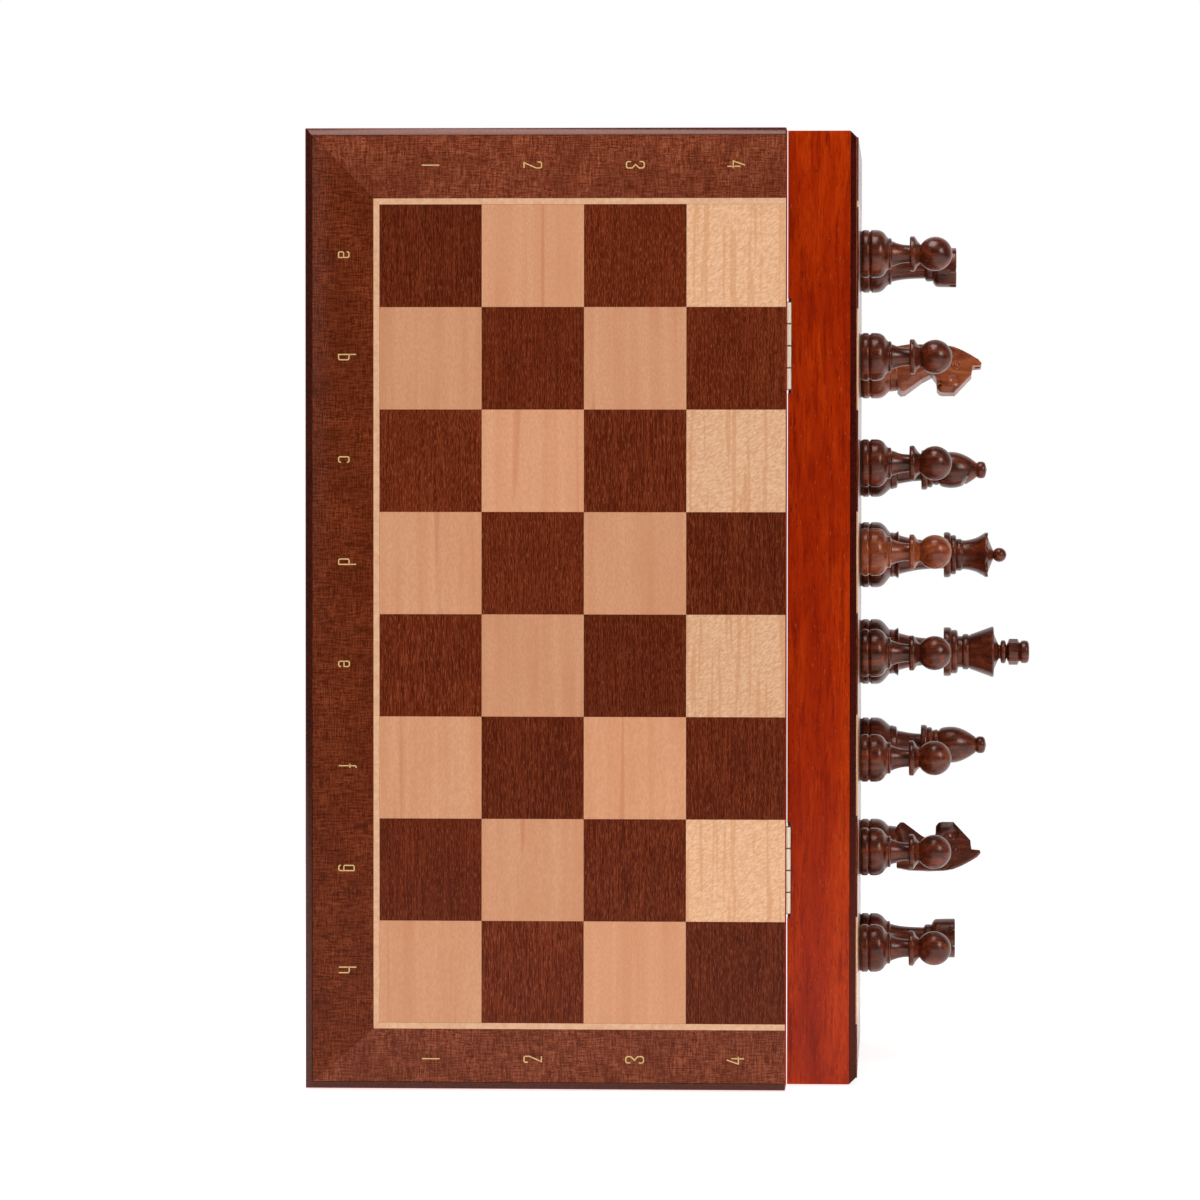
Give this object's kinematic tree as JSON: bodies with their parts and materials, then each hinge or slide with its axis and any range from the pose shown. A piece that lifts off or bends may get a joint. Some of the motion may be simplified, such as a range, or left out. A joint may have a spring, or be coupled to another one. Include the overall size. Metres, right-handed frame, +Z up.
{
  "type": "chess set with board",
  "caption": "Folding wooden chess board of hinged trays with inlaid squares, standing open like a book, with magnetic turned pieces on one face and others stored inside.",
  "frame": {"origin": "middle of the overall box, on the surface that the set stands on", "axes": "+Z up along the fold, which stands upright; -Y is the way that the playing face of half A looks; +X is the way that the playing face of half B looks and its pieces point"},
  "size_m": [0.2892, 0.2182, 0.38],
  "materials": {
    "panel_core": "dark stained edge, satin lacquer",
    "border_veneer": "figured brown-red veneer, satin lacquer",
    "maple_stringing": "pale stringing, satin lacquer",
    "light_squares": "light veneer, satin lacquer",
    "dark_squares": "dark veneer, satin lacquer",
    "red_rail": "red-orange stain, gloss lacquer, dark pores",
    "steel_sheet": "plain thin sheet",
    "foam": "black foam with a felt face",
    "brass": "polished brass",
    "magnet": "nickel plated",
    "dark_piece_wood": "dark stained wood, satin lacquer",
    "light_piece_wood": "natural light wood, satin lacquer"
  },
  "bodies": {
    "half_a": {"panel_core_a": "panel_core", "border_veneer_a": "border_veneer", "stringing_a": "maple_stringing", "light_squares_a": "light_squares", "dark_squares_a": "dark_squares", "outer_rail_a": "red_rail", "fold_rail_a": "red_rail", "end_rails_a": "red_rail", "steel_sheet_a": "steel_sheet", "storage_insert_a": "foam", "hinge_leaves_a": "brass", "hinge_screws_a": "brass", "closure_magnets_a": "magnet", "hinge_pins": "brass"},
    "half_b": {"panel_core_b": "panel_core", "border_veneer_b": "border_veneer", "stringing_b": "maple_stringing", "light_squares_b": "light_squares", "dark_squares_b": "dark_squares", "outer_rail_b": "red_rail", "fold_rail_b": "red_rail", "end_rails_b": "red_rail", "steel_sheet_b": "steel_sheet", "storage_insert_b": "foam", "hinge_leaves_b": "brass", "hinge_screws_b": "brass", "closure_magnets_b": "magnet"},
    "dark_pawn_a": {"dark_pawn_a": "dark_piece_wood"},
    "dark_pawn_b": {"dark_pawn_b": "dark_piece_wood"},
    "dark_pawn_c": {"dark_pawn_c": "dark_piece_wood"},
    "dark_pawn_d": {"dark_pawn_d": "dark_piece_wood"},
    "dark_pawn_e": {"dark_pawn_e": "dark_piece_wood"},
    "dark_pawn_f": {"dark_pawn_f": "dark_piece_wood"},
    "dark_pawn_g": {"dark_pawn_g": "dark_piece_wood"},
    "dark_pawn_h": {"dark_pawn_h": "dark_piece_wood"},
    "dark_rook_a": {"dark_rook_a": "dark_piece_wood"},
    "dark_knight_b": {"dark_knight_b": "dark_piece_wood"},
    "dark_bishop_c": {"dark_bishop_c": "dark_piece_wood"},
    "dark_queen_d": {"dark_queen_d": "dark_piece_wood"},
    "dark_king_e": {"dark_king_e": "dark_piece_wood"},
    "dark_bishop_f": {"dark_bishop_f": "dark_piece_wood"},
    "dark_knight_g": {"dark_knight_g": "dark_piece_wood"},
    "dark_rook_h": {"dark_rook_h": "dark_piece_wood"},
    "light_pawn_a": {"light_pawn_a": "light_piece_wood"},
    "light_pawn_b": {"light_pawn_b": "light_piece_wood"},
    "light_pawn_c": {"light_pawn_c": "light_piece_wood"},
    "light_pawn_d": {"light_pawn_d": "light_piece_wood"},
    "light_pawn_e": {"light_pawn_e": "light_piece_wood"},
    "light_pawn_f": {"light_pawn_f": "light_piece_wood"},
    "light_pawn_g": {"light_pawn_g": "light_piece_wood"},
    "light_pawn_h": {"light_pawn_h": "light_piece_wood"},
    "light_rook_a": {"light_rook_a": "light_piece_wood"},
    "light_knight_b": {"light_knight_b": "light_piece_wood"},
    "light_bishop_c": {"light_bishop_c": "light_piece_wood"},
    "light_queen_d": {"light_queen_d": "light_piece_wood"},
    "light_king_e": {"light_king_e": "light_piece_wood"},
    "light_bishop_f": {"light_bishop_f": "light_piece_wood"},
    "light_knight_g": {"light_knight_g": "light_piece_wood"},
    "light_rook_h": {"light_rook_h": "light_piece_wood"}
  },
  "joints": [
    {"name": "fold", "type": "hinge", "parent": "half_a", "child": "half_b", "pos_m": [0.0455, -0.081, 0.19], "axis": [0, 0, -1], "range_deg": [-90, 90]},
    {"name": "dark_pawn_a_lift", "type": "slide", "parent": "half_b", "child": "dark_pawn_a", "axis": [1, 0, 0], "range_m": [0, 0.08]},
    {"name": "dark_pawn_b_lift", "type": "slide", "parent": "half_b", "child": "dark_pawn_b", "axis": [1, 0, 0], "range_m": [0, 0.08]},
    {"name": "dark_pawn_c_lift", "type": "slide", "parent": "half_b", "child": "dark_pawn_c", "axis": [1, 0, 0], "range_m": [0, 0.08]},
    {"name": "dark_pawn_d_lift", "type": "slide", "parent": "half_b", "child": "dark_pawn_d", "axis": [1, 0, 0], "range_m": [0, 0.08]},
    {"name": "dark_pawn_e_lift", "type": "slide", "parent": "half_b", "child": "dark_pawn_e", "axis": [1, 0, 0], "range_m": [0, 0.08]},
    {"name": "dark_pawn_f_lift", "type": "slide", "parent": "half_b", "child": "dark_pawn_f", "axis": [1, 0, 0], "range_m": [0, 0.08]},
    {"name": "dark_pawn_g_lift", "type": "slide", "parent": "half_b", "child": "dark_pawn_g", "axis": [1, 0, 0], "range_m": [0, 0.08]},
    {"name": "dark_pawn_h_lift", "type": "slide", "parent": "half_b", "child": "dark_pawn_h", "axis": [1, 0, 0], "range_m": [0, 0.08]},
    {"name": "dark_rook_a_lift", "type": "slide", "parent": "half_b", "child": "dark_rook_a", "axis": [1, 0, 0], "range_m": [0, 0.08]},
    {"name": "dark_knight_b_lift", "type": "slide", "parent": "half_b", "child": "dark_knight_b", "axis": [1, 0, 0], "range_m": [0, 0.08]},
    {"name": "dark_bishop_c_lift", "type": "slide", "parent": "half_b", "child": "dark_bishop_c", "axis": [1, 0, 0], "range_m": [0, 0.08]},
    {"name": "dark_queen_d_lift", "type": "slide", "parent": "half_b", "child": "dark_queen_d", "axis": [1, 0, 0], "range_m": [0, 0.08]},
    {"name": "dark_king_e_lift", "type": "slide", "parent": "half_b", "child": "dark_king_e", "axis": [1, 0, 0], "range_m": [0, 0.08]},
    {"name": "dark_bishop_f_lift", "type": "slide", "parent": "half_b", "child": "dark_bishop_f", "axis": [1, 0, 0], "range_m": [0, 0.08]},
    {"name": "dark_knight_g_lift", "type": "slide", "parent": "half_b", "child": "dark_knight_g", "axis": [1, 0, 0], "range_m": [0, 0.08]},
    {"name": "dark_rook_h_lift", "type": "slide", "parent": "half_b", "child": "dark_rook_h", "axis": [1, 0, 0], "range_m": [0, 0.08]},
    {"name": "light_pawn_a_lift", "type": "slide", "parent": "half_a", "child": "light_pawn_a", "axis": [0, 1, 0], "range_m": [0, 0.035]},
    {"name": "light_pawn_b_lift", "type": "slide", "parent": "half_a", "child": "light_pawn_b", "axis": [0, 1, 0], "range_m": [0, 0.035]},
    {"name": "light_pawn_c_lift", "type": "slide", "parent": "half_a", "child": "light_pawn_c", "axis": [0, 1, 0], "range_m": [0, 0.035]},
    {"name": "light_pawn_d_lift", "type": "slide", "parent": "half_a", "child": "light_pawn_d", "axis": [0, 1, 0], "range_m": [0, 0.035]},
    {"name": "light_pawn_e_lift", "type": "slide", "parent": "half_a", "child": "light_pawn_e", "axis": [0, 1, 0], "range_m": [0, 0.035]},
    {"name": "light_pawn_f_lift", "type": "slide", "parent": "half_a", "child": "light_pawn_f", "axis": [0, 1, 0], "range_m": [0, 0.035]},
    {"name": "light_pawn_g_lift", "type": "slide", "parent": "half_a", "child": "light_pawn_g", "axis": [0, 1, 0], "range_m": [0, 0.035]},
    {"name": "light_pawn_h_lift", "type": "slide", "parent": "half_a", "child": "light_pawn_h", "axis": [0, 1, 0], "range_m": [0, 0.035]},
    {"name": "light_rook_a_lift", "type": "slide", "parent": "half_a", "child": "light_rook_a", "axis": [0, 1, 0], "range_m": [0, 0.035]},
    {"name": "light_knight_b_lift", "type": "slide", "parent": "half_a", "child": "light_knight_b", "axis": [0, 1, 0], "range_m": [0, 0.035]},
    {"name": "light_bishop_c_lift", "type": "slide", "parent": "half_a", "child": "light_bishop_c", "axis": [0, 1, 0], "range_m": [0, 0.035]},
    {"name": "light_queen_d_lift", "type": "slide", "parent": "half_a", "child": "light_queen_d", "axis": [0, 1, 0], "range_m": [0, 0.035]},
    {"name": "light_king_e_lift", "type": "slide", "parent": "half_a", "child": "light_king_e", "axis": [0, 1, 0], "range_m": [0, 0.035]},
    {"name": "light_bishop_f_lift", "type": "slide", "parent": "half_a", "child": "light_bishop_f", "axis": [0, 1, 0], "range_m": [0, 0.035]},
    {"name": "light_knight_g_lift", "type": "slide", "parent": "half_a", "child": "light_knight_g", "axis": [0, 1, 0], "range_m": [0, 0.035]},
    {"name": "light_rook_h_lift", "type": "slide", "parent": "half_a", "child": "light_rook_h", "axis": [0, 1, 0], "range_m": [0, 0.035]}
  ]
}
